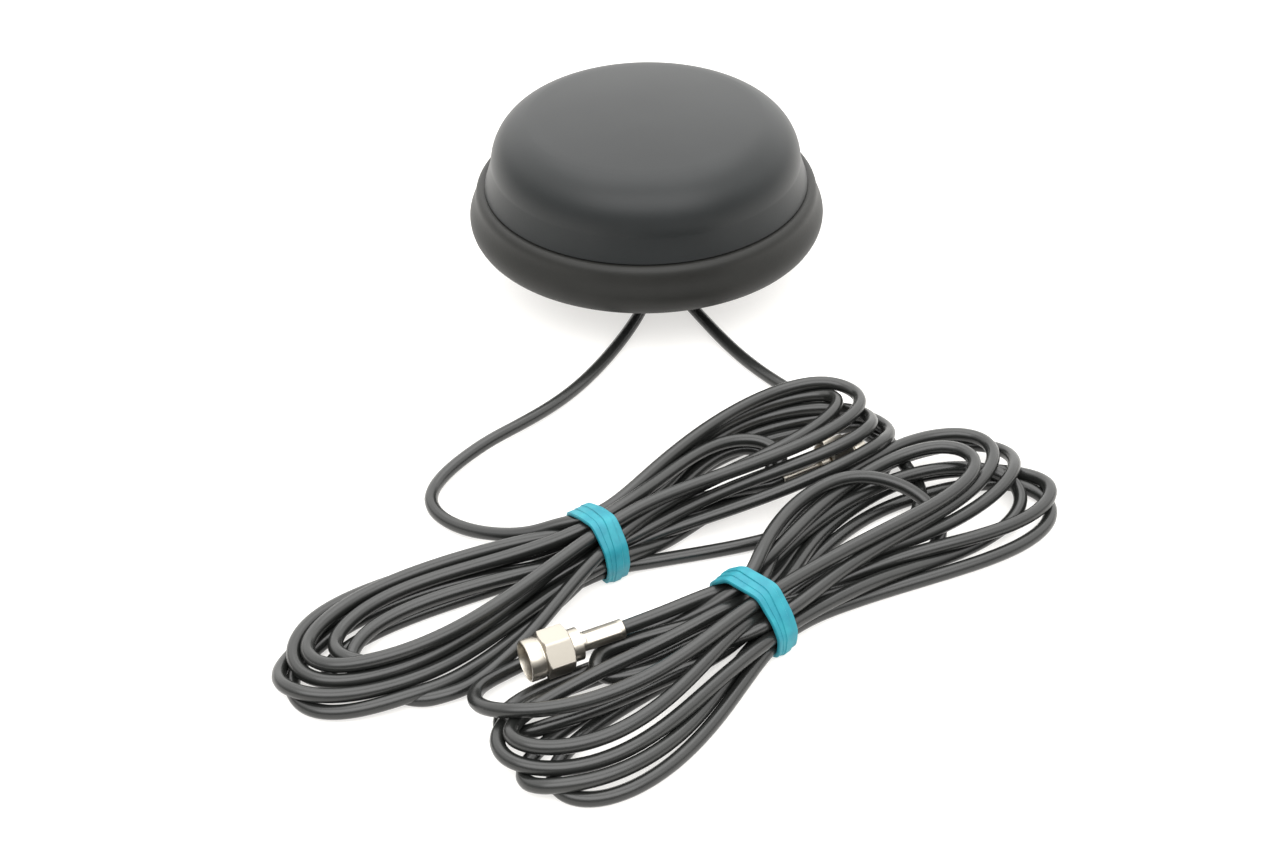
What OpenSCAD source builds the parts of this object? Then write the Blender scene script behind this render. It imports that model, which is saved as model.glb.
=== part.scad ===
// Low round vehicle antenna for satellite positioning and cellular, on a
// hollow threaded stud, with two thin coaxial leads. Each lead is folded into
// a hank held by a rubber band and ends in a coaxial screw plug.
// The origin is on the floor under the centre of the puck: the end face of the
// stud. +Z is the puck's axis, and the leads lie towards -Y.

/* [Housing] */
// Diameter over the skirt at its bottom edge
base_d = 81.8; // [79:0.1:83]
// Diameter at the seam between the skirt and the radome
seam_d = 77.2; // [76:0.1:78]
// Height of the radome's top above the floor
top_z = 42.8; // [42:0.1:44]
// Height of the skirt's bottom edge above the floor, which is the stud's drop
drop = 13.4; // [13.4:0.1:15]
// Height of the skirt
skirt_h = 11.3; // [11:0.1:11.8]
// Wall thickness of the radome
wall = 2.2; // [1.6:0.1:2.4]

/* [Stud] */
// Diameter of the threaded stud
stud_d = 16; // [15.8:0.1:16.2]
// Width across the flats of the mounting nut
nut_af = 22; // [21:0.5:24]

/* [Leads] */
// Diameter of the coaxial leads
lead_d = 2.8; // [2.6:0.1:2.9]
// Thickness of a hank
hank_h = 9; // [8:0.5:10]
// Width of a rubber band along its hank
band_w = 5; // [3:0.5:6]

/* [Plugs] */
// Width across the flats of a plug's coupling nut
sma_af = 8; // [7.8:0.1:8.2]

/* [Hidden] */
$fn = 64;

// Levels and radii of the housing
base_r = base_d / 2;
seam_r = seam_d / 2;
seam_z = drop + skirt_h;
gasket_h = 2;
plate_z = drop + gasket_h;
plate_h = 2.6;
plate_top = plate_z + plate_h;
plate_r = 37.4;
lip_r = 36;
lip_drop = 3.2;
fit_gap = 0.05;

// Radome: crown height of its top, radius of its shoulder, draft of its wall
crown = 1.2;
shoulder = 11.5;
draft = 2;
shoulder_r = seam_r - draft - shoulder;
shoulder_z = top_z - crown - shoulder;
boss_ring = 30;
boss_r = 3;
boss_bore = 1.3;
boss_angles = [45, 135, 225, 315];
cover_hole_r = 1.6;
cover_screw_r = 1.25;
cover_screw_l = 11;
cover_head_r = 2.8;
cover_head_h = 1.5;
cover_seat_r = 3;
cover_seat_h = 1.6;

// Stud, its slot for the leads, and the loose hardware on it
stud_r = stud_d / 2;
stud_neck_r = stud_r + 0.4;
stud_bore = 4.75;
flange_r = 11.5;
flange_h = 2;
slot_w = 7.6;
slot_h = 6.8;
slot_angle = -70;
washer_h = 1.3;
washer_z = plate_z - 0.1 - washer_h;
washer_r = 11.3;
gasket_in = 13.2;
ring_at = 9.4;
ring_t = 0.58;
ring_seat_r = 10.4;
ring_seat_h = 1.2;
nut_h = 4.4;
nut_z = washer_z - nut_h;
nut_bore = stud_r + fit_gap;
potting_z = 14;
lead_places = [[-1.6, -0.6, 0], [1.6, 0.6, 0]];

// Circuit board and what stands on it
board_z = 24.5;
board_h = 1.6;
board_top = board_z + board_h;
board_r = 26.4;
post_ring = 22;
post_r = 2.2;
post_angles = [30, 150, 270];
post_bore = 0.95;
board_hole_r = 1.1;
lead_hole_r = 0.32;
feed_y = 4;
feed_r = 0.5;
feed_hole_r = 0.55;
patch_w = 25;
patch_h = 4;
patch_top = board_top + patch_h;
electrode_h = 0.2;
strip_z = 34;
strip_in = 19.5;
strip_out = 25.5;
strip_from = 200;
strip_turn = 140;

lead_r = lead_d / 2;
tube_sides = 8;

// Route of lead A, from the stud's potting to its hank
route_a = [[-1.6, -0.6, 14], [-1.6, -0.7, 10.5], [-1.4, -1.2, 7.5],
  [-0.9, -2.6, 5], [0, -5.5, 3.6], [0.8, -9, 2.9], [0.6, -14, 2.2],
  [-0.8, -19, 1.7], [-3.2, -24, 1.5], [-6.6, -31.5, 1.5], [-11.3, -43, 1.5],
  [-15.5, -51, 1.5], [-20, -58, 1.5], [-26, -65, 1.5], [-32, -70.5, 1.5],
  [-37.5, -75.5, 1.5], [-42.6, -80.2, 1.5], [-45.9, -84.5, 1.5],
  [-46.8, -89.7, 1.5], [-45.7, -94.3, 1.5], [-43, -97.2, 1.5],
  [-39, -99, 1.5], [-33, -100.2, 1.5], [-27, -100.6, 1.6],
  [-22, -101.4, 2.2], [-18, -103.2, 3.2], [-14.5, -105.8, 4.2]];
// Route of lead B, from the potting, under hank A, to its own hank
route_b = [[1.6, 0.6, 14], [1.6, 0.5, 10.5], [1.8, -0.1, 7.5],
  [2.4, -1.6, 5], [3.4, -4.6, 3.6], [4.9, -8.3, 2.9], [7.3, -13, 2.2],
  [10, -17.5, 1.7], [12.7, -22.5, 1.5], [15.4, -30, 1.5], [18.3, -38, 1.5],
  [21.4, -44, 1.5], [25, -49.5, 1.5], [29.8, -54.3, 1.5], [36, -59.4, 1.5],
  [42, -65, 1.5], [47, -72, 1.5], [51, -79, 1.5], [55, -85, 1.5]];
// Tails, from each hank to where the lead enters its ferrule
tail_route_a = [[18.6, -93.8, 4], [21.6, -92.3, 4.6], [24.1, -91.1, 4.9],
  [26, -90, 4.9], [28.6, -88.5, 4.9]];
tail_route_b = [[10, -129, 6], [5.5, -130, 7], [1, -131.4, 7.2],
  [-3.2, -133.4, 6.9], [-6.5, -135, 6.8], [-9.2, -136.3, 6.8]];

// Hanks: centre and radius of the left end, the waist and the right end, then
// the direction of the hank at its waist
hank_ends_a = [[[-55, -134], 15], [[-10.5, -110.5], 7.5], [[36, -77], 14], 30];
hank_ends_b = [[[-15, -160], 12], [[18.6, -130.7], 7.5], [[66, -93], 16], 42];
band_t = 1.1;

// Plugs: where the lead enters the ferrule, the direction, and the turn that
// lays a flat of the coupling nut towards the front
plug_at_a = [26, -90, 4.9];
plug_dir_a = 29.5;
plug_at_b = [-6.5, -135, 6.8];
plug_dir_b = 205;
nut_roll = 7;

// Stations along a plug, from the ferrule's open end
ferrule_l = 8.8;
stem_at = 3;
collar_l = 2;
collar_end = ferrule_l + collar_l;
coupling_at = collar_end + 0.1;
coupling_wall = 1.5;
hex_end = 16.4;
coupling_end = 19.5;
face_at = 14.2;
pin_end = 17.2;
ferrule_r = 1.85;
ferrule_bore = 1.45;
collar_r = 3.1;
neck_r = 2.3;
ring_r = 3.95;
thread_r = 3.05;
mouth_r = 3.5;
mouth_l = 2;
insulator_r = 1.85;
pin_r = 0.45;
groove_at = 12.5;
groove_l = 0.6;
groove_r = 1.95;

// Points on an arc, n steps from angle a to angle b
function arc(cx, cy, r, a, b, n) =
  [for (i = [0 : n]) [cx + r * cos(a + (b - a) * i / n),
                      cy + r * sin(a + (b - a) * i / n)]];

// Outer or inner outline of the dome, set in by t, from the seam to the axis
function dome(t) = concat(
  [[seam_r - 0.15 - t, seam_z]],
  arc(shoulder_r, shoulder_z, shoulder - t, 0, 80, 12),
  [for (k = [1, 0.8, 0.6, 0.4, 0.2, 0])
    [(shoulder_r + 1.6) * k, top_z - t - (crown + 0.2) * k * k]]);

// A vector as long as 1
function unit(v) = v / norm(v);

// Side vectors square to each direction, carried along so that they don't twist
function carried(dirs, side, i = 0) =
  i == len(dirs) ? [] :
  let (w = unit(dirs[i]), next = unit(side - (side * w) * w))
  concat([next], carried(dirs, next, i + 1));

// Ring of n points around p, square to direction d, starting at side u
function ring(p, d, u, r, n) =
  let (v = cross(unit(d), u))
  [for (i = [0 : n - 1])
    p + r * (cos(i * 360 / n) * u + sin(i * 360 / n) * v)];

// Round tube swept along a route, one ring at each of its points
module tube(route, r, n) {
  m = len(route);
  dirs = [for (i = [0 : m - 1])
    route[min(i + 1, m - 1)] - route[max(i - 1, 0)]];
  across = carried(dirs, [1, 0.3, 0.1]);
  rings = [for (i = [0 : m - 1]) each ring(route[i], dirs[i], across[i], r, n)];
  sides = [for (i = [0 : m - 2]) for (k = [0 : n - 1])
    [i * n + k, i * n + (k + 1) % n, (i + 1) * n + (k + 1) % n,
      (i + 1) * n + k]];
  caps = [[for (k = [n - 1 : -1 : 0]) k], [for (k = [0 : n - 1])
    (m - 1) * n + k]];
  polyhedron(points = rings, faces = concat(sides, caps), convexity = 6);
}

module at_angles(angles, radius) {
  for (a = angles)
    rotate([0, 0, a])
      translate([radius, 0, 0])
        children();
}

// Repeats its children where the two leads run up through the stud
module at_leads() {
  for (place = lead_places)
    translate(place)
      children();
}

module ring_solid(r_in, r_out, z, h) {
  translate([0, 0, z])
    difference() {
      cylinder(r = r_out, h = h);
      translate([0, 0, -1])
        cylinder(r = r_in, h = h + 2);
    }
}

// ---- Housing ----

module radome() {
  color([0.11, 0.115, 0.125])
    difference() {
      union() {
        rotate_extrude($fn = 128)
          polygon(concat(dome(0), [for (i = [len(dome(wall)) - 1 : -1 : 0])
            dome(wall)[i]]));
        ring_solid(lip_r - 1.6, lip_r, seam_z - lip_drop, lip_drop + 1);
        intersection() {
          rotate_extrude($fn = 128)
            polygon(concat(dome(wall / 2), [[0, 0], [seam_r, 0]]));
          at_angles(boss_angles, boss_ring)
            translate([0, 0, plate_top])
              cylinder(r = boss_r, h = top_z - plate_top);
        }
      }
      at_angles(boss_angles, boss_ring)
        translate([0, 0, plate_top - 1])
          cylinder(r = boss_bore, h = 13);
    }
}

module skirt() {
  bead = 2.4;
  neck_z = seam_z - bead;
  color([0.13, 0.13, 0.13])
    rotate_extrude($fn = 128)
      polygon([[base_r, drop], [base_r + 0.85, drop + 1.2],
        [base_r + 1.3, drop + 2.5], [base_r + 1.45, drop + 3.6],
        [base_r + 1.2, drop + 4.8], [base_r + 0.65, drop + 5.8],
        [base_r + 0.1, drop + 6.8], [seam_r + 1.9, neck_z - 1],
        [seam_r + 1.7, neck_z], [seam_r + 1.4, neck_z + 1.2],
        [seam_r + 0.9, seam_z - 0.3], [seam_r + 0.6, seam_z],
        [lip_r + fit_gap, seam_z],
        [lip_r + fit_gap, plate_top + fit_gap],
        [plate_r + fit_gap, plate_top + fit_gap],
        [plate_r + fit_gap, plate_z], [plate_r - 0.4, plate_z],
        [plate_r - 0.4, drop]]);
}

module base_plate() {
  color([0.62, 0.63, 0.65])
    difference() {
      union() {
        translate([0, 0, plate_z])
          cylinder(r = plate_r, h = plate_h, $fn = 128);
        at_angles(post_angles, post_ring)
          translate([0, 0, plate_top])
            cylinder(r = post_r, h = board_z - plate_top);
      }
      translate([0, 0, plate_z - 1])
        cylinder(r = stud_neck_r + fit_gap, h = plate_h + 2);
      translate([0, 0, plate_top - ring_seat_h])
        cylinder(r = ring_seat_r, h = 2);
      at_angles(boss_angles, boss_ring) {
        translate([0, 0, plate_z - 1])
          cylinder(r = cover_hole_r, h = plate_h + 2);
        translate([0, 0, plate_z - 1])
          cylinder(r = cover_seat_r, h = cover_seat_h + 1);
      }
      at_angles(post_angles, post_ring)
        translate([0, 0, plate_top + 1])
          cylinder(r = post_bore, h = board_z);
    }
}

module threaded_stud() {
  color([0.72, 0.72, 0.73])
    difference() {
      union() {
        cylinder(r = stud_r, h = plate_top);
        translate([0, 0, plate_z])
          cylinder(r = stud_neck_r, h = plate_h);
        translate([0, 0, plate_top])
          cylinder(r = flange_r, h = flange_h);
      }
      translate([0, 0, -1])
        cylinder(r = stud_bore, h = plate_top + flange_h + 2);
      rotate([0, 0, slot_angle])
        translate([0, -slot_w / 2, -1])
          cube([stud_r + 1, slot_w, slot_h + 1]);
    }
}

module mounting_nut() {
  color([0.75, 0.75, 0.76])
    translate([0, 0, nut_z])
      difference() {
        cylinder(d = nut_af / cos(30), h = nut_h, $fn = 6);
        translate([0, 0, -1])
          cylinder(r = nut_bore, h = nut_h + 2);
      }
}

module lock_washer() {
  color([0.7, 0.7, 0.71])
    ring_solid(stud_r + 0.3, washer_r, washer_z, washer_h);
}

module o_ring() {
  color([0.08, 0.08, 0.08])
    translate([0, 0, plate_top - ring_seat_h / 2])
      rotate_extrude()
        translate([ring_at, 0])
          circle(r = ring_t, $fn = 32);
}

module sealing_gasket() {
  color([0.16, 0.16, 0.16])
    ring_solid(gasket_in, plate_r - 0.45, drop, gasket_h);
}

module cover_screws() {
  color([0.7, 0.71, 0.72])
    at_angles(boss_angles, boss_ring) {
      translate([0, 0, plate_z + 0.05])
        difference() {
          cylinder(r = cover_head_r, h = cover_head_h);
          translate([-2, -0.3, -1])
            cube([4, 0.6, 1.8]);
          translate([-0.3, -2, -1])
            cube([0.6, 4, 1.8]);
        }
      translate([0, 0, plate_z + 1])
        cylinder(r = cover_screw_r, h = cover_screw_l);
    }
}

// ---- Electronics ----

module main_board() {
  color([0.05, 0.3, 0.16])
    difference() {
      translate([0, 0, board_z])
        cylinder(r = board_r, h = board_h);
      translate([0, 0, board_z - 1]) {
        at_angles(post_angles, post_ring)
          cylinder(r = board_hole_r, h = board_h + 2);
        at_leads()
          cylinder(r = lead_hole_r, h = board_h + 2, $fn = 24);
        translate([0, feed_y, 0])
          cylinder(r = feed_hole_r, h = board_h + 2, $fn = 24);
      }
    }
}

module board_screws() {
  color([0.75, 0.75, 0.76])
    at_angles(post_angles, post_ring) {
      translate([0, 0, board_z - 4])
        cylinder(r = 0.9, h = 4 + board_h);
      translate([0, 0, board_top])
        difference() {
          cylinder(r = 1.8, h = 1.2);
          translate([-1.2, -0.2, 0.6])
            cube([2.4, 0.4, 1]);
          translate([-0.2, -1.2, 0.6])
            cube([0.4, 2.4, 1]);
        }
    }
}

module patch_ceramic() {
  color([0.85, 0.8, 0.68])
    difference() {
      translate([-patch_w / 2, -patch_w / 2, board_top])
        cube([patch_w, patch_w, patch_h]);
      translate([0, feed_y, board_top - 1])
        cylinder(r = feed_hole_r, h = patch_h + 2, $fn = 24);
    }
}

module patch_electrode() {
  edge = 21;
  color([0.85, 0.85, 0.86])
    difference() {
      translate([-edge / 2, -edge / 2, patch_top])
        cube([edge, edge, electrode_h]);
      translate([0, feed_y, patch_top - 1])
        cylinder(r = feed_hole_r, h = 3, $fn = 24);
      translate([edge / 2, edge / 2, patch_top - 1])
        rotate([0, 0, 45])
          cube([3, 3, 4], center = true);
    }
}

module feed_pin() {
  color([0.83, 0.68, 0.3])
    translate([0, feed_y, 0]) {
      translate([0, 0, board_z - 0.6])
        cylinder(r = feed_r, h = patch_top + electrode_h - board_z + 0.6, $fn = 24);
      translate([0, 0, patch_top + electrode_h])
        cylinder(r = 1.1, h = 0.4, $fn = 32);
    }
}

module lna_shield() {
  size = [10, 14, 3];
  thick = 0.3;
  color([0.78, 0.79, 0.8])
    translate([12.5, -size[1] / 2, board_z - size[2]])
      difference() {
        cube(size);
        translate([thick, thick, thick])
          cube([size[0] - 2 * thick, size[1] - 2 * thick, size[2]]);
      }
}

module lna_chip() {
  color([0.1, 0.1, 0.1])
    translate([14, -4.5, board_z - 0.9])
      cube([3, 3, 0.9]);
}

module saw_filter() {
  color([0.8, 0.72, 0.55])
    translate([18, 0.5, board_z - 1.1])
      cube([3, 3, 1.1]);
}

module cell_element() {
  thick = 0.6;
  color([0.8, 0.62, 0.4]) {
    translate([0, 0, strip_z])
      rotate([0, 0, strip_from])
        rotate_extrude(angle = strip_turn, $fn = 96)
          translate([strip_in, 0])
            square([strip_out - strip_in, thick]);
    for (a = [strip_from + 4, strip_from + 22])
      rotate([0, 0, a])
        translate([strip_in, 0, board_top])
          cube([3, thick, strip_z - board_top + thick / 2]);
  }
}

module foam_spacer() {
  color([0.25, 0.25, 0.27])
    translate([0, 0, patch_top + electrode_h])
      difference() {
        cylinder(r = 9, h = 9);
        translate([0, feed_y, -1])
          cylinder(r = 1.6, h = 11);
      }
}

module cable_potting() {
  top = plate_top + 1;
  color([0.1, 0.1, 0.11])
    difference() {
      translate([0, 0, potting_z])
        cylinder(r = stud_bore - 0.02, h = top - potting_z);
      translate([0, 0, potting_z - 1])
        at_leads()
          cylinder(r = lead_r + 0.02, h = top - potting_z + 2);
    }
}

// A lead inside the stud: jacket, braid, insulation and core, up to the board
module inner_lead(place) {
  translate(place) {
    translate([0, 0, potting_z])
      cylinder(r = lead_r, h = 6.6);
    translate([0, 0, potting_z + 6.6])
      cylinder(r = 1, h = 1.8);
    translate([0, 0, potting_z + 8.4])
      cylinder(r = 0.75, h = 1.2);
    translate([0, 0, potting_z + 9.6])
      cylinder(r = 0.3, h = 1);
  }
}

module inner_lead_gnss() {
  color([0.1, 0.1, 0.1])
    inner_lead(lead_places[0]);
}

module inner_lead_cell() {
  color([0.1, 0.1, 0.1])
    inner_lead(lead_places[1]);
}

module solder_joints() {
  color([0.78, 0.79, 0.8])
    at_leads()
      ring_solid(lead_hole_r, 0.9, board_z - 0.5, 0.5);
}

// ---- Leads and hanks ----

// One end of a hank, seen from above: from the waist out to its round end
module lobe(waist, end) {
  hull() {
    translate(waist[0])
      circle(r = waist[1], $fn = 32);
    translate(end[0])
      circle(r = end[1], $fn = 32);
  }
}

// Rounded rectangle across a hank, w wide and from z0 to z1 high
module section(w, z0, z1, r) {
  hull()
    for (s = [-1, 1], z = [z0 + r, z1 - r])
      translate([s * (w / 2 - r), z])
        circle(r = r, $fn = 24);
}

// A prism of such a section, l long, lying along the hank at its waist
module across_waist(ends, l) {
  translate([ends[1][0][0], ends[1][0][1], 0])
    rotate([90, 0, 90 + ends[3]])
      translate([0, 0, -l / 2])
        linear_extrude(l)
          children();
}

module hank(ends) {
  waist = ends[1];
  union() {
    difference() {
      linear_extrude(hank_h) {
        lobe(waist, ends[0]);
        lobe(waist, ends[2]);
      }
      translate([waist[0][0], waist[0][1], hank_h / 2])
        rotate([0, 0, ends[3]])
          cube([band_w, 4 * waist[1], hank_h + 2], center = true);
    }
    across_waist(ends, band_w + 1)
      section(2 * (waist[1] - band_t), band_t, hank_h, 2.5);
  }
}

module band(ends) {
  waist = ends[1];
  across_waist(ends, band_w)
    difference() {
      section(2 * waist[1], 0, hank_h + band_t, 3.4);
      section(2 * (waist[1] - band_t), band_t, hank_h, 2.5);
    }
}

module lead_a() {
  color([0.09, 0.09, 0.1])
    tube(route_a, lead_r, tube_sides);
}

module hank_a() {
  color([0.09, 0.09, 0.1])
    difference() {
      hank(hank_ends_a);
      in_plug_frame(plug_at_a, plug_dir_a)
        translate([-3, -5.4, -6])
          cube([coupling_end + 4, 10.8, hank_h + 12]);
    }
}

module band_a() {
  color([0.05, 0.58, 0.62])
    band(hank_ends_a);
}

module tail_a() {
  color([0.09, 0.09, 0.1])
    tube(tail_route_a, lead_r, tube_sides);
}

module lead_b() {
  color([0.09, 0.09, 0.1])
    tube(route_b, lead_r, tube_sides);
}

module hank_b() {
  color([0.09, 0.09, 0.1])
    hank(hank_ends_b);
}

module band_b() {
  color([0.05, 0.58, 0.62])
    band(hank_ends_b);
}

module tail_b() {
  color([0.09, 0.09, 0.1])
    tube(tail_route_b, lead_r, tube_sides);
}

// ---- Plugs ----

// Places what is drawn along +X at a plug
module in_plug_frame(at, dir) {
  translate(at)
    rotate([0, 0, dir])
      children();
}

// Round bar along the plug's axis, from station a to station b
module bar(r, a, b, n = 48) {
  translate([a, 0, 0])
    rotate([0, 90, 0])
      cylinder(r = r, h = b - a, $fn = n);
}

module coupling_nut() {
  difference() {
    union() {
      translate([coupling_at, 0, 0])
        rotate([nut_roll, 0, 0])
          rotate([0, 90, 0])
            cylinder(d = sma_af / cos(30), h = hex_end - coupling_at, $fn = 6);
      bar(ring_r, hex_end - 0.5, coupling_end);
    }
    bar(neck_r + fit_gap, coupling_at - 1, coupling_end + 1);
    bar(thread_r, coupling_at + coupling_wall, coupling_end + 1);
    bar(mouth_r, coupling_end - mouth_l, coupling_end + 1);
  }
}

module plug_body() {
  difference() {
    union() {
      bar(ferrule_bore - 0.02, stem_at, ferrule_l);
      bar(collar_r, ferrule_l, collar_end);
      bar(neck_r, collar_end - 0.5, face_at);
    }
    bar(insulator_r, ferrule_l + 0.8, face_at + 1);
    bar(0.75, stem_at - 1, ferrule_l + 1);
    difference() {
      bar(collar_r + 1, groove_at, groove_at + groove_l);
      bar(groove_r + 0.15, groove_at - 1, groove_at + groove_l + 1);
    }
  }
}

module ferrule() {
  difference() {
    bar(ferrule_r, 0, ferrule_l);
    bar(ferrule_bore, -1, ferrule_l + 1);
  }
}

module dielectric() {
  difference() {
    bar(insulator_r - 0.02, ferrule_l + 0.8, face_at);
    bar(pin_r + 0.02, ferrule_l, face_at + 1);
  }
}

module centre_pin() {
  bar(pin_r, stem_at + 1, pin_end - 0.5, 32);
  translate([pin_end - 0.5, 0, 0])
    rotate([0, 90, 0])
      cylinder(r1 = pin_r, r2 = 0.2, h = 0.5, $fn = 32);
}

module snap_ring() {
  difference() {
    bar(neck_r + 0.35, groove_at + 0.03, groove_at + groove_l - 0.03);
    bar(groove_r + 0.17, groove_at - 1, groove_at + groove_l + 1);
    translate([groove_at - 1, 0, -0.4])
      cube([groove_l + 2, 4, 0.8]);
  }
}

module plug_seal() {
  difference() {
    bar(thread_r - 0.3, groove_at + groove_l + 0.2, face_at - 0.1);
    bar(neck_r + 0.02, groove_at, face_at + 1);
  }
}

module coupling_nut_a() {
  color([0.8, 0.79, 0.76])
    in_plug_frame(plug_at_a, plug_dir_a)
      coupling_nut();
}

module plug_body_a() {
  color([0.8, 0.79, 0.76])
    in_plug_frame(plug_at_a, plug_dir_a)
      plug_body();
}

module ferrule_a() {
  color([0.82, 0.81, 0.78])
    in_plug_frame(plug_at_a, plug_dir_a)
      ferrule();
}

module dielectric_a() {
  color([0.93, 0.92, 0.88])
    in_plug_frame(plug_at_a, plug_dir_a)
      dielectric();
}

module centre_pin_a() {
  color([0.83, 0.66, 0.28])
    in_plug_frame(plug_at_a, plug_dir_a)
      centre_pin();
}

module snap_ring_a() {
  color([0.7, 0.6, 0.4])
    in_plug_frame(plug_at_a, plug_dir_a)
      snap_ring();
}

module plug_seal_a() {
  color([0.6, 0.2, 0.15])
    in_plug_frame(plug_at_a, plug_dir_a)
      plug_seal();
}

module coupling_nut_b() {
  color([0.8, 0.79, 0.76])
    in_plug_frame(plug_at_b, plug_dir_b)
      coupling_nut();
}

module plug_body_b() {
  color([0.8, 0.79, 0.76])
    in_plug_frame(plug_at_b, plug_dir_b)
      plug_body();
}

module ferrule_b() {
  color([0.82, 0.81, 0.78])
    in_plug_frame(plug_at_b, plug_dir_b)
      ferrule();
}

module dielectric_b() {
  color([0.93, 0.92, 0.88])
    in_plug_frame(plug_at_b, plug_dir_b)
      dielectric();
}

module centre_pin_b() {
  color([0.83, 0.66, 0.28])
    in_plug_frame(plug_at_b, plug_dir_b)
      centre_pin();
}

module snap_ring_b() {
  color([0.7, 0.6, 0.4])
    in_plug_frame(plug_at_b, plug_dir_b)
      snap_ring();
}

module plug_seal_b() {
  color([0.6, 0.2, 0.15])
    in_plug_frame(plug_at_b, plug_dir_b)
      plug_seal();
}

radome();
skirt();
base_plate();
threaded_stud();
mounting_nut();
lock_washer();
o_ring();
sealing_gasket();
cover_screws();
main_board();
board_screws();
patch_ceramic();
patch_electrode();
feed_pin();
lna_shield();
lna_chip();
saw_filter();
cell_element();
foam_spacer();
cable_potting();
inner_lead_gnss();
inner_lead_cell();
solder_joints();
lead_a();
hank_a();
band_a();
tail_a();
lead_b();
hank_b();
band_b();
tail_b();
coupling_nut_a();
plug_body_a();
ferrule_a();
dielectric_a();
centre_pin_a();
snap_ring_a();
plug_seal_a();
coupling_nut_b();
plug_body_b();
ferrule_b();
dielectric_b();
centre_pin_b();
snap_ring_b();
plug_seal_b();
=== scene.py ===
"""Looks of a low round vehicle antenna with two thin coaxial leads, each folded into a banded hank.

Lengths are written in millimetres, as in part.scad, and turned into metres where they meet Blender.
"""

import math

import bpy
import numpy as np
from mathutils import Matrix, Vector


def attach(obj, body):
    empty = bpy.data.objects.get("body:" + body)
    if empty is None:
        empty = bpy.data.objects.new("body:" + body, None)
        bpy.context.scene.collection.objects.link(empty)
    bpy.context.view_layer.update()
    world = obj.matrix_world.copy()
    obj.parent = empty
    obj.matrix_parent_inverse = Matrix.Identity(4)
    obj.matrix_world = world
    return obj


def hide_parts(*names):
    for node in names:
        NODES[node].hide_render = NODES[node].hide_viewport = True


MM = 0.001

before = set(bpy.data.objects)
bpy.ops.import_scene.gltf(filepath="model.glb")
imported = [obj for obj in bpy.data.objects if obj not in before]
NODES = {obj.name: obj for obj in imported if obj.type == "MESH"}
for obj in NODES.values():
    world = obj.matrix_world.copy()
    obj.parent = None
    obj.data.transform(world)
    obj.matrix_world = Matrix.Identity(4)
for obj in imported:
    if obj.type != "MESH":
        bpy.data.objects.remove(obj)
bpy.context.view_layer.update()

# ---------------------------------------------------------------- camera

EYE = (-2.54, -376.4, 237.3)
DOWN = math.radians(37.228)
ROLL = math.radians(1.094)
SENSOR = 36.0
LENS = 50.6


def make_camera():
    ahead = Vector((0, math.cos(DOWN), -math.sin(DOWN)))
    up = Vector((0, math.sin(DOWN), math.cos(DOWN)))
    right = Vector((1, 0, 0))
    rolled_right = right * math.cos(ROLL) - up * math.sin(ROLL)
    rolled_up = right * math.sin(ROLL) + up * math.cos(ROLL)
    turn = Matrix((rolled_right, rolled_up, -ahead)).transposed().to_4x4()
    data = bpy.data.cameras.new("camera")
    data.sensor_width = SENSOR
    data.lens = LENS
    data.clip_start = 0.01
    camera = bpy.data.objects.new("camera", data)
    camera.matrix_world = Matrix.Translation(Vector(EYE) * MM) @ turn
    bpy.context.scene.collection.objects.link(camera)
    bpy.context.scene.camera = camera


make_camera()

# ---------------------------------------------------------------- routes of the leads

LEAD_D = 2.8
LEAD_R = LEAD_D / 2

# Lead A, from the stud's potting: the route in part.scad, then up into its band
ROUTE_A = [
    (-1.6, -0.6, 14), (-1.6, -0.7, 10.5), (-1.4, -1.2, 7.5), (-0.9, -2.6, 5), (0, -5.5, 3.6),
    (0.8, -9, 2.9), (0.6, -14, 2.2), (-0.8, -19, 1.7), (-3.2, -24, 1.5), (-6.6, -31.5, 1.5),
    (-11.3, -43, 1.5), (-15.5, -51, 1.5), (-20, -58, 1.5), (-26, -65, 1.5), (-32, -70.5, 1.5),
    (-37.5, -75.5, 1.5), (-42.6, -80.2, 1.5), (-45.9, -84.5, 1.5), (-46.8, -89.7, 1.5),
    (-45.7, -94.3, 1.5), (-43, -97.2, 1.5), (-39, -99, 1.5), (-33, -100.2, 1.5),
    (-27, -101.6, 3.2), (-21, -103.6, 5.6),
]
# Lead B, from the potting: the route in part.scad, then under its own hank and into its band
ROUTE_B = [
    (1.6, 0.6, 14), (1.6, 0.5, 10.5), (1.8, -0.1, 7.5), (2.4, -1.6, 5), (3.4, -4.6, 3.6),
    (4.9, -8.3, 2.9), (7.3, -13, 2.2), (10, -17.5, 1.7), (12.7, -22.5, 1.5), (15.4, -30, 1.5),
    (18.3, -38, 1.5), (21.4, -44, 1.5), (25, -49.5, 1.5), (29.8, -54.3, 1.5), (36, -59.4, 1.5),
    (42, -65, 1.5), (47, -72, 1.5), (51, -79, 1.5), (55, -85, 1.5), (56, -92, 1.5),
    (53, -101, 1.5), (45, -110, 1.5), (36, -116, 2), (27, -121, 2.4),
]
# The last stretch of each lead, out of its hank and into the ferrule, as in part.scad
TAIL_A = [(18.6, -93.8, 4), (21.6, -92.3, 4.6), (24.1, -91.1, 4.9), (26, -90, 4.9), (28.6, -88.5, 4.9)]
TAIL_B = [(10, -129, 6), (5.5, -130, 7), (1, -131.4, 7.2), (-3.2, -133.4, 6.9), (-6.5, -135, 6.8),
          (-9.2, -136.3, 6.8)]

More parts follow.
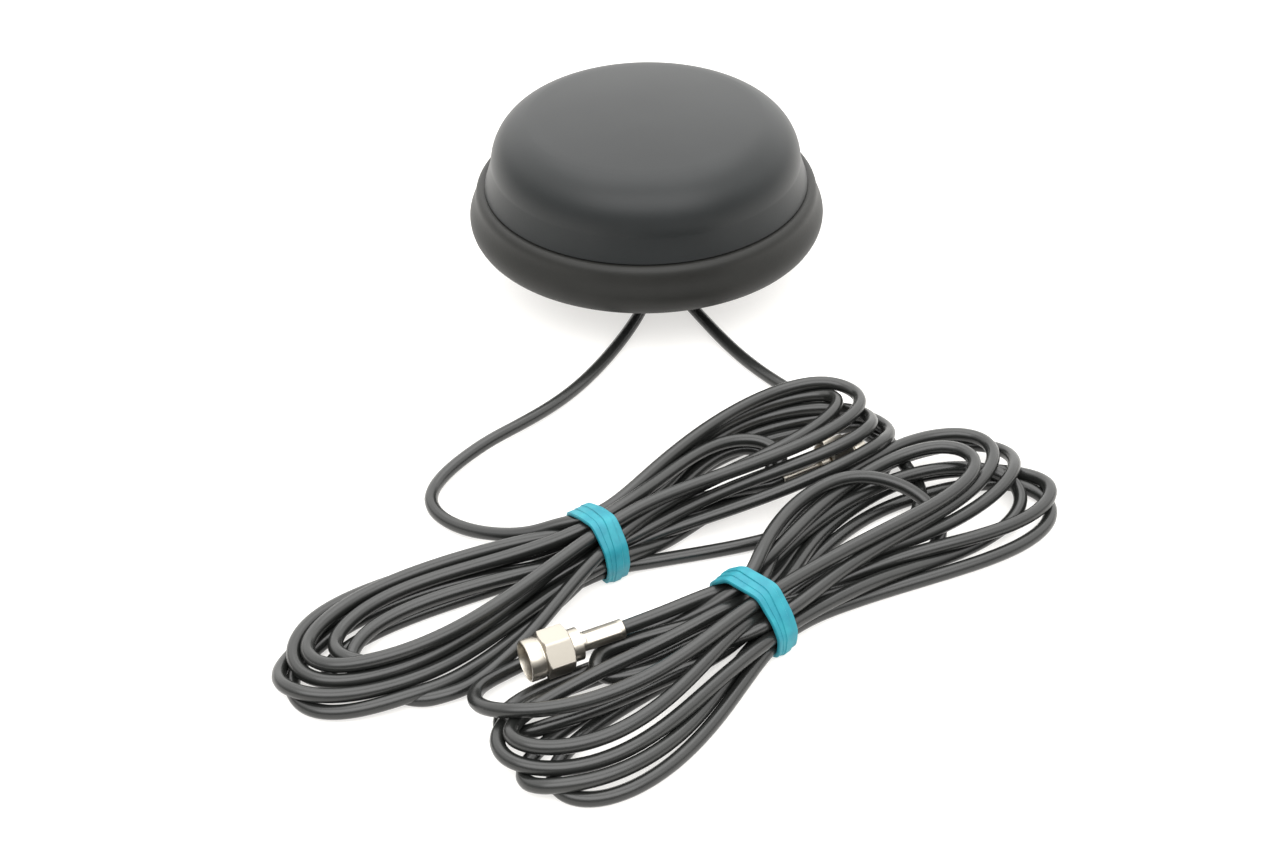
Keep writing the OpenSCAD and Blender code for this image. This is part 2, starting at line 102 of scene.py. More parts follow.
# Each hank: its waist, the direction of its long axis there, the slot in the band of each pass,
# and the folds at its two ends. A fold is one end of a turn, from the back of the waist round to
# the front. The folds are in the order in which the lead runs through them.
# The fold points were read off flattened views of the photo. A helper script then moved them for their
# height and rounded them to half a millimetre, and some were changed by hand later.
HANK_A = {
    "waist": (-10.5, -110.5), "turn": 30.0, "first": "right",
    "slots": [12, 13, 8, 1, 6, 4, 11, 5, 14, 10, 3, 9, 2, 0, 7],
    "right": [
        [(-1, -93, 9.6), (7, -84, 9.6), (15.5, -75, 9.8), (26.5, -67, 10), (37, -64, 10),
         (43.5, -66.5, 10.4), (45, -72, 11.4), (40, -80, 13), (30, -87.5, 12.8), (19.5, -93, 11.6),
         (7.5, -98.5, 10.8)],
        [(4, -87, 4), (14, -75, 3), (24.5, -69.5, 3), (34.5, -67.5, 3.2), (43.5, -70, 3.4),
         (50.5, -74, 4.4), (50.5, -80, 6.6), (46, -84.5, 7.6), (38, -89.5, 8), (29, -94.5, 7.2),
         (19, -98.8, 6.4), (8, -103.4, 5.6)],
        [(1, -91, 4), (8, -83, 4.4), (14, -78.8, 4.8), (20, -77.5, 4.8), (25.5, -79.2, 3.8),
         (26.5, -84, 2.4), (22, -88.8, 1.5), (14.5, -93, 1.5), (4, -99, 2)],
        [(2, -88, 5.4), (12, -77, 5), (22, -69, 5), (32, -66, 5.4), (41, -69, 6), (46, -74, 7),
         (44.5, -81.5, 9), (35.5, -87.5, 9.6), (21.5, -91.5, 8), (8, -97.5, 7.4)],
        [(-1, -95, 7), (5, -87, 7.6), (12, -80.5, 8), (17.5, -79, 8), (23.5, -79.5, 7.2),
         (28.5, -81.5, 5), (27.5, -85, 3), (18, -93, 3), (6, -100, 4)],
        [(2, -89, 7.6), (10, -79.5, 7.2), (20, -70.5, 7.4), (30.5, -65.5, 7.8), (37.5, -65, 8.4),
         (41, -68.5, 9.4), (38, -75, 11), (28.5, -85, 11), (14.5, -93, 9.4), (4, -98.5, 9)],
        [(4, -87, 2), (14.5, -76, 1.5), (26.5, -69.5, 1.5), (36.5, -68.5, 1.5), (44.5, -70, 1.5),
         (51, -74.5, 1.5), (49.5, -80.5, 1.5), (43.5, -88.5, 1.5), (34.5, -99, 1.5),
         (26.5, -104.5, 1.5), (15.5, -107, 1.5), (4, -109, 1.5)],
    ],
    "left": [
        [(-24, -108, 5.4), (-40, -112.5, 4.2), (-53, -119, 3.8), (-62, -127.5, 4.2), (-66, -136, 5),
         (-63, -141.5, 5.8), (-55.5, -143.5, 6.6), (-44.5, -140.5, 7), (-33.5, -133, 7.4),
         (-23.5, -122.5, 8)],
        [(-24, -109, 2), (-40.5, -115, 1.5), (-54.5, -124, 1.5), (-64.5, -132.5, 1.5),
         (-68.5, -141, 1.5), (-66, -148, 1.5), (-57.5, -150.5, 1.5), (-48.5, -148.5, 1.5),
         (-38, -142.5, 1.5), (-29, -132.5, 1.6), (-21, -122.5, 2)],
        [(-24, -108, 2.6), (-40, -114, 2), (-54.5, -121.5, 1.8), (-65.5, -130.5, 1.8),
         (-70, -140, 2), (-67.5, -146, 2.6), (-60, -148.5, 3.2), (-50, -147, 3.4),
         (-40, -141.5, 3.2), (-30, -132, 3.2), (-21, -121, 3.8)],
        [(-24, -110, 5), (-40, -116, 4.4), (-50, -121, 4.2), (-57.5, -127.5, 4.2), (-61, -133, 3.6),
         (-60, -138, 2.4), (-54.5, -140.5, 2), (-44.5, -138, 2), (-32, -128, 2.4), (-22, -117, 3.6)],
        [(-24, -105.5, 2.4), (-40.5, -110.5, 2), (-53.5, -118, 1.8), (-63.5, -127, 2), (-68, -136, 2.6),
         (-66.5, -142, 3.8), (-60, -145, 4.8), (-49.5, -143.5, 5.2), (-39.5, -138, 5.2),
         (-30, -129.5, 5.4), (-20, -118.5, 6)],
        [(-22, -115, 4.4), (-32, -118.5, 3.8), (-46, -125, 3.4), (-55, -131, 3), (-59.5, -137, 2),
         (-54.5, -142, 1.5), (-47.5, -146, 1.5), (-42.5, -147, 1.5), (-37.5, -147.8, 1.5),
         (-33, -145.3, 1.5), (-28.5, -139.5, 1.5), (-24, -133, 1.5), (-21, -126.5, 2.4), (-18, -119, 6)],
        [(-22, -111, 2), (-30, -116, 1.5), (-45.5, -125.5, 1.5), (-55.5, -132, 1.5),
         (-62.5, -137.5, 1.5), (-61, -143, 1.5), (-54.5, -145, 1.5), (-46, -141.5, 1.5),
         (-36, -134, 1.5), (-26, -123.5, 1.5)],
    ],
}
HANK_B = {
    "waist": (18.6, -130.7), "turn": 42.0, "first": "left",
    "slots": [2, 0, 3, 1, 6, 4, 8, 5, 7, 9, 11, 10, 14, 13, 12],
    "left": [
        [(6, -137.5, 2), (-1, -145, 1.5), (-8, -151.5, 1.5), (-15, -158, 1.5), (-20.5, -165, 1.5),
         (-18, -170.5, 1.5), (-11, -171.8, 1.5), (-3, -168.5, 1.5), (5, -161, 1.5), (11, -150.5, 1.5),
         (15, -142, 2)],
        [(5, -137, 3), (-3, -144, 2.4), (-11, -150, 2), (-18, -156, 1.5), (-24.5, -162, 1.5),
         (-25.5, -167, 1.8), (-19, -170, 2.6), (-10, -169, 3.2), (0, -163.5, 3.4), (8, -153.5, 3.6),
         (13.5, -143.5, 3.8)],
        [(6, -134, 3), (-6, -138.5, 2.4), (-16, -144.5, 2.8), (-24, -150.5, 3.2), (-29, -155, 3.8),
         (-30, -160, 4.4), (-27.5, -164.5, 4.6), (-20, -167, 4.8), (-10, -166.5, 5), (-1, -161, 5.2),
         (6, -153, 5.4), (11.5, -144, 5.6)],
        [(8, -129.5, 3), (-3, -134, 1.6), (-12, -138.5, 1.5), (-20, -143, 1.5), (-27, -147.5, 1.5),
         (-30.3, -152.2, 1.8), (-27, -156.6, 2.6), (-20, -157, 3.4), (-13, -154, 3.8), (-6, -150, 4.6),
         (4, -144.5, 5.4)],
        [(8, -132, 5), (0, -134, 4), (-8, -134.8, 3.2), (-14.5, -136.5, 3), (-16.5, -140.3, 3),
         (-13.5, -143.8, 3.2), (-8, -144.6, 3.6), (-1, -143.5, 4.6), (7, -140, 6)],
        [(8, -135.5, 6), (2, -139, 5.2), (-8, -143.5, 4.6), (-17, -148.8, 4.4), (-24, -153.5, 4.4),
         (-27.5, -158.5, 5.6), (-25, -163, 6.8), (-17, -164.5, 7.6), (-8, -163, 7.6),
         (-1, -157.5, 7.6), (5, -150, 7.6), (11, -142.5, 7.6)],
        [(6, -128, 3), (0, -130, 2.4), (-10, -132, 1.5), (-19, -133.5, 1.5), (-26.5, -137.5, 1.5),
         (-32.5, -142, 1.8), (-34.5, -147.5, 3), (-32.5, -152.2, 5), (-27.5, -155.9, 7),
         (-20, -157.3, 8.2), (-10, -154.8, 9), (0, -149.2, 9.4), (8, -143.6, 9.6), (14, -138.8, 9.8)],
    ],
    "right": [
        [(25, -114, 2), (34.5, -103, 1.5), (50.5, -93, 1.5), (67, -89.5, 1.5), (77, -89, 1.5),
         (81, -92.5, 1.5), (81, -98, 1.5), (77, -105, 1.5), (69, -110, 1.5), (56.5, -114.5, 1.5),
         (44.5, -118, 1.5), (33.5, -122.5, 1.8)],
        [(26, -112.5, 3), (32.5, -103.5, 2.4), (44.5, -93.5, 2.2), (60.5, -87, 2.2), (72.5, -85, 2.4),
         (78.5, -87, 2.6), (81.5, -92, 3), (79.5, -98.5, 3.6), (72, -104.5, 3.8), (60, -109.5, 4),
         (48, -114.5, 4.2), (36, -119.5, 4.4)],
        [(29, -108.5, 5), (37, -99, 5), (47, -92, 5), (56, -88, 5), (63, -87, 4.8), (70, -86.5, 4.4),
         (75, -88.5, 4), (76, -92.5, 3), (74, -98, 2.2), (68.5, -104.5, 1.8), (58.5, -110, 2),
         (46, -115.5, 3), (34, -121, 3.6)],
        [(26, -107.5, 3), (36.5, -95, 2), (48.5, -84.5, 2), (58.5, -78.5, 2.4), (67.5, -75.5, 2.8),
         (73.5, -78.5, 3.4), (75, -84, 4.2), (73, -91.5, 5), (67, -99, 5.4), (56.5, -106, 5.6),
         (46, -112, 5.6), (34, -118.5, 5.8)],
        [(23, -112, 5), (31, -101.5, 4.6), (40, -90.5, 4.6), (50, -81.5, 5), (57.5, -77.5, 5.6),
         (65, -76.5, 6.2), (70, -79, 6.8), (71, -84.5, 7.2), (68, -92.5, 7.4), (61, -100, 7.4),
         (51.5, -108, 7.4), (39.5, -115.5, 7.6), (29.5, -121.5, 7.6)],
        [(19.5, -116, 8), (23.5, -109.5, 8), (29.5, -101.5, 8.8), (36, -96, 9.2), (43, -94.5, 9.2),
         (50, -96.5, 8.8), (55, -100, 7.4), (58, -102.5, 4), (58, -106, 1.8), (54.5, -110.5, 1.5),
         (46.5, -115.5, 1.5), (36.5, -120, 2)],
        [(23.5, -114.5, 8.4), (30.5, -105, 7.8), (38.5, -96, 7.8), (47.5, -88.5, 8.4), (56, -84.5, 9),
         (62.5, -85, 9.6), (66.5, -90, 9.8), (64.5, -96, 9.8), (56.5, -103.5, 9.8), (47, -111, 9.8),
         (36, -117, 9.8)],
    ],
}

# Where the fifteen passes of a lead lie in its band, seen along the hank: rows of 4, 5, 4 and 2
BAND_FLOOR = 1.1
ROW_RISE = LEAD_D * math.sqrt(3) / 2
ROWS = [4, 5, 4, 2]
SLOTS = [
    ((i - (n - 1) / 2) * LEAD_D, BAND_FLOOR + LEAD_R + row * ROW_RISE)
    for row, n in enumerate(ROWS) for i in range(n)
]
BAND_W = 5.0
STEP = 1.5


def in_hank(hank, along, across, z):
    """A point given along and across a hank's axis from its waist."""
    a = math.radians(hank["turn"])
    x = hank["waist"][0] + along * math.cos(a) - across * math.sin(a)
    y = hank["waist"][1] + along * math.sin(a) + across * math.cos(a)
    return (x, y, z)


def through_band(hank, number, heading):
    """The two points where pass `number` runs through the band, heading +1 to the right end."""
    across, z = SLOTS[hank["slots"][number]]
    half = heading * BAND_W / 2
    return [in_hank(hank, -half, across, z), in_hank(hank, half, across, z)]


def wound(hank, lead, tail):
    """The whole control route of a lead: to the hank, its turns, and out to the plug."""
    heading = 1 if hank["first"] == "right" else -1
    points = list(lead) + through_band(hank, 0, heading)
    ends = ("right", "left") if heading > 0 else ("left", "right")
    for turn in range(len(hank["left"])):
        for half, end in enumerate(ends):
            fold = hank[end][turn]
            points += fold if half == 0 else fold[::-1]
            way = -heading if half == 0 else heading
            points += through_band(hank, 2 * turn + half + 1, way)
    return points + list(tail)


def smooth_path(points, step):
    """Centripetal Catmull-Rom curve through the points, cut into equal steps."""
    p = np.array(points, float)
    p = np.vstack([2 * p[0] - p[1], p, 2 * p[-1] - p[-2]])
    knots = np.concatenate([[0], np.cumsum(np.linalg.norm(np.diff(p, axis=0), axis=1) ** 0.5)])
    out = []
    for i in range(1, len(p) - 2):
        t0, t1, t2, t3 = knots[i - 1:i + 3]
        t = np.linspace(t1, t2, 12, endpoint=False)[:, None]
        a1 = (t1 - t) / (t1 - t0) * p[i - 1] + (t - t0) / (t1 - t0) * p[i]
        a2 = (t2 - t) / (t2 - t1) * p[i] + (t - t1) / (t2 - t1) * p[i + 1]
        a3 = (t3 - t) / (t3 - t2) * p[i + 1] + (t - t2) / (t3 - t2) * p[i + 2]
        b1 = (t2 - t) / (t2 - t0) * a1 + (t - t0) / (t2 - t0) * a2
        b2 = (t3 - t) / (t3 - t1) * a2 + (t - t1) / (t3 - t1) * a3
        out.append((t2 - t) / (t2 - t1) * b1 + (t - t1) / (t2 - t1) * b2)
    dense = np.vstack(out + [p[-2:-1]])
    return resample(dense, step)


def resample(path, step):
    lengths = np.concatenate([[0], np.cumsum(np.linalg.norm(np.diff(path, axis=0), axis=1))])
    count = max(2, int(round(lengths[-1] / step)) + 1)
    at = np.linspace(0, lengths[-1], count)
    return np.stack([np.interp(at, lengths, path[:, k]) for k in range(3)], axis=1)


# ---------------------------------------------------------------- settling the leads

# Plugs: where the lead enters the ferrule, and the plug's direction, as in part.scad
PLUGS = {
    "a": {"at": (26, -90, 4.9), "turn": 29.5},
    "b": {"at": (-6.5, -135, 6.8), "turn": 205.0},
}
FERRULE_L = 8.8
FERRULE_R = 1.85
# Stations along a plug, from the ferrule's mouth, and radii of the coupling nut
COUPLING_AT = 10.9
HEX_END = 16.4
COUPLING_END = 19.5
HEX_FLATS = 8.0
HEX_SWEEP = 4.7  # the hexagon's corners pass inside this radius when it turns
RING_R = 3.95
BORE_END = 12.4
THREAD_R = 3.05
THREAD_PITCH = 0.706
MOUTH_R = 3.5
MOUTH_L = 2.0
NECK_BORE = 2.35
NUT_ROLL = 7.0

NEAR = 5  # steps along a lead within which two points may not push each other
ROUNDS = 170
CALM = 30  # last rounds, with less pull back to the drawn route
CROSSING = 0.3  # sine of the angle from which two strands count as crossing
HOLD = 0.04  # pull back to the drawn route in each round
BAND_HOLD = 0.1
SINK = 0.012  # fall in each round, mm
REACH = LEAD_D + 1.2  # distance at which two points are looked at
LARGEST_LIFT = 1.2  # furthest that a crossing strand moves in one push
FIXED_START = 12  # points that stay put in the stud, and at the plug
FIXED_END = 5
CLEAR_OF_FERRULE = 8  # last points, which run into the ferrule
BAND_FROM_START = 20  # points at either end that no band holds
BAND_FROM_END = 12
TIGHT_R = 14  # a bend under this radius is left as drawn, one over the next is straightened
STRAIGHT_R = 30


def on_plug(plug, station):
    a = math.radians(plug["turn"])
    x, y, z = plug["at"]
    return np.array([x + station * math.cos(a), y + station * math.sin(a), z])


def near_pairs(x, owner, index, reach):
    """Pairs of points closer than reach, leaving out neighbours along one lead."""
    found = []
    block = 400
    for start in range(0, len(x), block):
        part = x[start:start + block]
        d2 = ((part[:, None, :] - x[None, :, :]) ** 2).sum(2)
        i, j = np.nonzero(d2 < reach * reach)
        i += start
        keep = (i < j) & ((owner[i] != owner[j]) | (np.abs(index[i] - index[j]) > NEAR))
        found.append(np.stack([i[keep], j[keep]]))
    return np.concatenate(found, axis=1)


def push_off(x, a, b, clear, free):
    """Moves points out of the round bar from a to b."""
    d = b - a
    t = np.clip(((x - a) @ d) / (d @ d), 0, 1)[:, None]
    away = x - (a + t * d)
    dist = np.linalg.norm(away, axis=1, keepdims=True) + 1e-9
    x += np.where((dist < clear) & free, away / dist * (clear - dist), 0)


def dot(a, b):
    return (a * b).sum(1, keepdims=True)


def push_apart(x, pairs, target, free):
    """Parts leads that touch: side by side where they run together, up and down where they cross."""
    i, j = pairs
    along = np.gradient(x, axis=0)
    along /= np.linalg.norm(along, axis=1, keepdims=True) + 1e-9
    d = x[i] - x[j]
    normal = np.cross(along[i], along[j])
    sine = np.linalg.norm(normal, axis=1, keepdims=True)
    normal /= sine + 1e-9
    above = target[i, 2] - target[j, 2] >= 0
    flat = (np.abs(normal[:, 2]) > 0.5)[:, None]
    upward = np.where(above, np.sign(normal[:, 2]), -np.sign(normal[:, 2]))[:, None]
    side = np.where(flat, upward, np.sign(dot(d, normal) + 1e-9))
    lift = dot(d, normal) * side
    inside = np.linalg.norm(d - normal * dot(d, normal), axis=1, keepdims=True)
    need = np.sqrt(np.clip(LEAD_D ** 2 - inside ** 2, 0, None))
    crossing = normal * side * np.clip(need - lift, 0, LARGEST_LIFT)
    beside = d - along[i] * dot(d, along[i])
    beside /= np.linalg.norm(beside, axis=1, keepdims=True) + 1e-9
    gap = np.linalg.norm(d, axis=1, keepdims=True)
    together = beside * np.clip(LEAD_D - gap, 0, None)
    move = np.where(sine > CROSSING, crossing, together) * 0.5
    touching = np.linalg.norm(move, axis=1) > 1e-6
    total = np.zeros_like(x)
    count = np.zeros(len(x))
    for who, sign in ((i, 1), (j, -1)):
        for axis in range(3):
            total[:, axis] += np.bincount(who, sign * move[:, axis], len(x))
        count += np.bincount(who, touching, len(x))
    x += np.where(free, total / np.maximum(count, 1)[:, None] * 1.2, 0)


def smoothing_kernel(width):
    """A blur that keeps parabolas as they are, so loops don't shrink."""
    reach = int(width * 3)
    bell = np.exp(-0.5 * (np.arange(-reach, reach + 1) / width) ** 2)
    bell /= bell.sum()
    return np.pad(bell * 2, reach) - np.convolve(bell, bell)


def soften(x, runs, free, kernel, strength):
    """Smooths along each lead. The strength is one number, or one for each point."""
    reach = len(kernel) // 2
    for start, end in runs:
        p = x[start:end]
        before = 2 * p[0] - p[reach:0:-1]
        after = 2 * p[-1] - p[-2:-reach - 2:-1]
        long = np.vstack([before, p, after])
        smooth = np.stack([np.convolve(long[:, k], kernel, "valid") for k in range(3)], axis=1)
        share = strength if np.isscalar(strength) else strength[start:end]
        x[start:end] += np.where(free[start:end], (smooth - p) * share, 0)


def straightness(x, runs):
    """1 where a lead is meant to run nearly straight, falling to 0 in its tight folds."""
    share = np.zeros((len(x), 1))
    chord = 5
    for start, end in runs:
        p = x[start:end]
        way = p[chord:] - p[:-chord]
        way /= np.linalg.norm(way, axis=1, keepdims=True)
        turn = np.arccos(np.clip(dot(way[chord:], way[:-chord]), -1, 1))
        radius = chord * STEP / np.maximum(turn, 1e-3)
        share[start + chord:end - chord] = np.clip((radius - TIGHT_R) / (STRAIGHT_R - TIGHT_R), 0, 1)
    return np.convolve(share[:, 0], np.ones(9) / 9, "same")[:, None]


def keep_steps(x, same, free):
    """Keeps neighbouring points one step apart."""
    gap = x[1:] - x[:-1]
    length = np.linalg.norm(gap, axis=1, keepdims=True) + 1e-9
    pull = np.where(same[:, None], gap / length * (length - STEP) * 0.35, 0)
    stretch = np.zeros_like(x)
    stretch[:-1] += pull
    stretch[1:] -= pull
    x += np.where(free, stretch, 0)


def settle(paths, hanks):
    """Lays the leads on the floor, on each other and on the plugs, without passing through."""
    x = np.vstack(paths)
    owner = np.concatenate([np.full(len(p), k) for k, p in enumerate(paths)])
    index = np.concatenate([np.arange(len(p)) for p in paths])
    ends = np.concatenate([np.arange(len(p))[::-1] for p in paths])
    cuts = np.cumsum([len(p) for p in paths])
    runs = list(zip([0, *cuts[:-1]], cuts))
    kernel = smoothing_kernel(2.5)
    fine_kernel = smoothing_kernel(1.2)
    wide_kernel = smoothing_kernel(5)
    free = ~((index < FIXED_START) | (ends < FIXED_END))[:, None]
    off_plug = (ends > CLEAR_OF_FERRULE)[:, None]
    same = owner[1:] == owner[:-1]
    for _ in range(6):
        soften(x, runs, free, kernel, 1.0)
    straight = straightness(x, runs)
    soften(x, runs, free, wide_kernel, straight)
    target = x.copy()
    in_band = np.zeros(len(x), bool)
    for k, hank in enumerate(hanks):
        a = math.radians(hank["turn"])
        along = (x[:, :2] - np.array(hank["waist"])) @ np.array([math.cos(a), math.sin(a)])
        mid_lead = (index > BAND_FROM_START) & (ends > BAND_FROM_END)
        in_band |= (owner == k) & (np.abs(along) < BAND_W / 2 + 1) & mid_lead
    floor = np.where(in_band, BAND_FLOOR + LEAD_R, LEAD_R)
    hold = np.where(in_band, BAND_HOLD, HOLD)[:, None]
    for turn in range(ROUNDS + CALM):
        if turn % 5 == 0:
            pairs = near_pairs(x, owner, index, REACH)
        calm = turn >= ROUNDS
        for _ in range(2):
            push_apart(x, pairs, target, free)
        soften(x, runs, free, wide_kernel, straight * 0.4)
        soften(x, runs, free, kernel, 0.5)
        soften(x, runs, free, fine_kernel, 1.0)
        keep_steps(x, same, free)
        if not calm or turn % 3 == 0:
            x += np.where(free, (target - x) * hold, 0)
        x[:, 2] -= np.where(free[:, 0] & ~in_band, SINK, 0)
        for plug in PLUGS.values():
            nut_back = on_plug(plug, COUPLING_AT)
            push_off(x, nut_back, on_plug(plug, COUPLING_END), HEX_SWEEP + LEAD_R, free & off_plug)
            push_off(x, on_plug(plug, 1), nut_back, FERRULE_R + LEAD_R, free & off_plug)
        x[:, 2] = np.where(free[:, 0], np.maximum(x[:, 2], floor), x[:, 2])
    soften(x, runs, free, wide_kernel, straight * 0.4)
    soften(x, runs, free, kernel, 0.7)
    soften(x, runs, free, fine_kernel, 1.0)
    return np.split(x, cuts[:-1])


path_a = smooth_path(wound(HANK_A, ROUTE_A, TAIL_A), STEP)
path_b = smooth_path(wound(HANK_B, ROUTE_B, TAIL_B), STEP)
path_a, path_b = settle([path_a, path_b], [HANK_A, HANK_B])


def lead_curve(name, path):
    fine = smooth_path(path, STEP / 2) * MM
    data = bpy.data.curves.new(name, "CURVE")
    data.dimensions = "3D"
    spline = data.splines.new("POLY")
    spline.points.add(len(fine) - 1)
    spline.points.foreach_set("co", np.hstack([fine, np.ones((len(fine), 1))]).ravel())
    spline.use_smooth = True
    data.bevel_depth = LEAD_R * MM
    data.bevel_resolution = 4
    data.use_fill_caps = True
    obj = bpy.data.objects.new(name, data)
    bpy.context.scene.collection.objects.link(obj)
    return obj


lead_a = lead_curve("coax_lead_a", path_a)
lead_b = lead_curve("coax_lead_b", path_b)

# ---------------------------------------------------------------- materials


def shader(name, color, rough, metallic=0.0, **sockets):
    material = bpy.data.materials.new(name)
    material.use_nodes = True
    tree = material.node_tree
    principled = tree.nodes["Principled BSDF"]
    principled.inputs["Base Color"].default_value = (*color, 1)
    principled.inputs["Roughness"].default_value = rough
    principled.inputs["Metallic"].default_value = metallic
    for socket, value in sockets.items():
        principled.inputs[socket.replace("_", " ")].default_value = value
    return material, tree, principled


def add_grain(tree, principled, scale, strength, distance=0.0001, detail=4.0):
    """Fine surface grain as bump."""
    place = tree.nodes.new("ShaderNodeTexCoord")
    noise = tree.nodes.new("ShaderNodeTexNoise")
    noise.inputs["Scale"].default_value = scale
    noise.inputs["Detail"].default_value = detail
    bump = tree.nodes.new("ShaderNodeBump")
    bump.inputs["Strength"].default_value = strength
    bump.inputs["Distance"].default_value = distance
    tree.links.new(place.outputs["Object"], noise.inputs["Vector"])
    tree.links.new(noise.outputs["Fac"], bump.inputs["Height"])
    tree.links.new(bump.outputs["Normal"], principled.inputs["Normal"])
    return place


def add_mottle(tree, principled, place, socket, scale, low, high):
    """Uneven colour or roughness: a noise mapped between two values."""
    noise = tree.nodes.new("ShaderNodeTexNoise")
    noise.inputs["Scale"].default_value = scale
    noise.inputs["Detail"].default_value = 6
    ramp = tree.nodes.new("ShaderNodeValToRGB")
    ramp.color_ramp.elements[0].position = 0.35
    ramp.color_ramp.elements[1].position = 0.7
    ramp.color_ramp.elements[0].color = (*low, 1)
    ramp.color_ramp.elements[1].color = (*high, 1)
    tree.links.new(place.outputs["Object"], noise.inputs["Vector"])
    tree.links.new(noise.outputs["Fac"], ramp.inputs["Fac"])
    tree.links.new(ramp.outputs["Color"], principled.inputs[socket])


def radome_material():
    dark = (0.007, 0.0083, 0.0088)
    light = (0.0095, 0.011, 0.0115)
    material, tree, principled = shader("satin_radome", dark, 0.42, Specular_IOR_Level=0.3)
    place = add_grain(tree, principled, 2600, 0.12)
    add_mottle(tree, principled, place, "Base Color", 60, dark, light)
    return material


def skirt_material():
    dark = (0.0065, 0.0065, 0.0056)
    light = (0.0095, 0.0095, 0.0082)
    material, tree, principled = shader("moulded_skirt", dark, 0.5, Specular_IOR_Level=0.3)
    place = add_grain(tree, principled, 1500, 0.2)
    add_mottle(tree, principled, place, "Base Color", 90, dark, light)
    return material


def jacket_material():
    dark = (0.008, 0.0085, 0.008)
    light = (0.0115, 0.012, 0.0112)
    material, tree, principled = shader("lead_jacket", dark, 0.27, Specular_IOR_Level=0.5)
    place = add_grain(tree, principled, 700, 0.08)
    add_mottle(tree, principled, place, "Base Color", 120, dark, light)
    return material


def band_material():
    dark = (0.0075, 0.155, 0.205)
    light = (0.0135, 0.207, 0.25)
    material, tree, principled = shader("band_rubber", dark, 0.5, Specular_IOR_Level=0.35)
    place = add_grain(tree, principled, 1800, 0.25)
    add_mottle(tree, principled, place, "Base Color", 400, dark, light)
    return material


def metal_material(name, color, rough, grain=900, strength=0.05):
    material, tree, principled = shader(name, color, rough, 1.0)
    add_grain(tree, principled, grain, strength)
    return material


def plain_material(name, color, rough, grain=900, strength=0.1, **sockets):
    material, tree, principled = shader(name, color, rough, 0.0, **sockets)
    add_grain(tree, principled, grain, strength)
    return material


RADOME = radome_material()
SKIRT = skirt_material()
JACKET = jacket_material()
BAND = band_material()
NICKEL = metal_material("plug_nickel", (0.41, 0.382, 0.333), 0.33)
# The thread inside the coupling nut: a brownish gold tone, made very dark to paint the shade deep in the
# bore.
THREAD_WITH_PAINTED_SHADE = metal_material("plug_thread_painted_shade", (0.12, 0.09, 0.055), 0.42)
STEEL = metal_material("zinc_steel", (0.62, 0.62, 0.63), 0.32)
CAST = metal_material("cast_alloy", (0.55, 0.56, 0.58), 0.45, 500, 0.2)
GOLD = metal_material("gold_pin", (0.83, 0.6, 0.25), 0.22)
COPPER = metal_material("stamped_copper", (0.75, 0.42, 0.22), 0.3)
BRONZE = metal_material("spring_bronze", (0.55, 0.4, 0.2), 0.3)
SILVER = metal_material("silver_film", (0.78, 0.78, 0.76), 0.35)
SOLDER = metal_material("bright_solder", (0.7, 0.71, 0.72), 0.25)
SEAL = plain_material("seal_rubber", (0.02, 0.02, 0.02), 0.5)
FOAM = plain_material("gasket_foam", (0.035, 0.035, 0.035), 0.9, 1200, 0.8)
BOARD = plain_material("board_laminate", (0.01, 0.11, 0.045), 0.3)
CERAMIC = plain_material("patch_ceramic", (0.66, 0.58, 0.42), 0.35)
FILTER = plain_material("filter_ceramic", (0.5, 0.4, 0.25), 0.4)
CHIP = plain_material("chip_plastic", (0.02, 0.02, 0.02), 0.5)
POTTING = plain_material("potting_resin", (0.012, 0.012, 0.013), 0.2)
PTFE = plain_material("dielectric_ptfe", (0.85, 0.84, 0.8), 0.45)
SILICONE = plain_material("seal_silicone", (0.45, 0.1, 0.06), 0.45)


def dress(obj, material):
    obj.data.materials.clear()
    obj.data.materials.append(material)


CAD_LOOKS = {
    "base_plate": CAST, "threaded_stud": STEEL, "mounting_nut": STEEL, "lock_washer": STEEL,
    "o_ring": SEAL, "sealing_gasket": FOAM, "cover_screws": STEEL, "main_board": BOARD,
    "board_screws": STEEL, "patch_ceramic": CERAMIC, "patch_electrode": SILVER, "feed_pin": GOLD,
    "lna_shield": SOLDER, "lna_chip": CHIP, "saw_filter": FILTER, "cell_element": COPPER,
    "foam_spacer": FOAM, "cable_potting": POTTING, "inner_lead_gnss": JACKET,
    "inner_lead_cell": JACKET, "solder_joints": SOLDER,
}
for side in "ab":
    CAD_LOOKS.update({
        "plug_body_" + side: NICKEL, "dielectric_" + side: PTFE, "centre_pin_" + side: GOLD,
        "snap_ring_" + side: BRONZE, "plug_seal_" + side: SILICONE,
    })
for node, material in CAD_LOOKS.items():
    dress(NODES[node], material)

# ---------------------------------------------------------------- mesh helpers


def new_mesh(name, points, faces, material, sharp=35.0):
    mesh = bpy.data.meshes.new(name)
    mesh.from_pydata([tuple(c * MM for c in p) for p in points], [], faces)
    mesh.validate()
    mesh.polygons.foreach_set("use_smooth", [True] * len(mesh.polygons))
    mesh.set_sharp_from_angle(angle=math.radians(sharp))
    obj = bpy.data.objects.new(name, mesh)
    bpy.context.scene.collection.objects.link(obj)
    dress(obj, material)
    return obj


def ring_faces(rings, around, closed):
    """Quads that join each ring of points to the next, and the last to the first if closed."""
    faces = []
    for r in range(rings if closed else rings - 1):
        s = (r + 1) % rings
        for k in range(around):
            n = (k + 1) % around
            faces.append((r * around + k, r * around + n, s * around + n, s * around + k))
    return faces


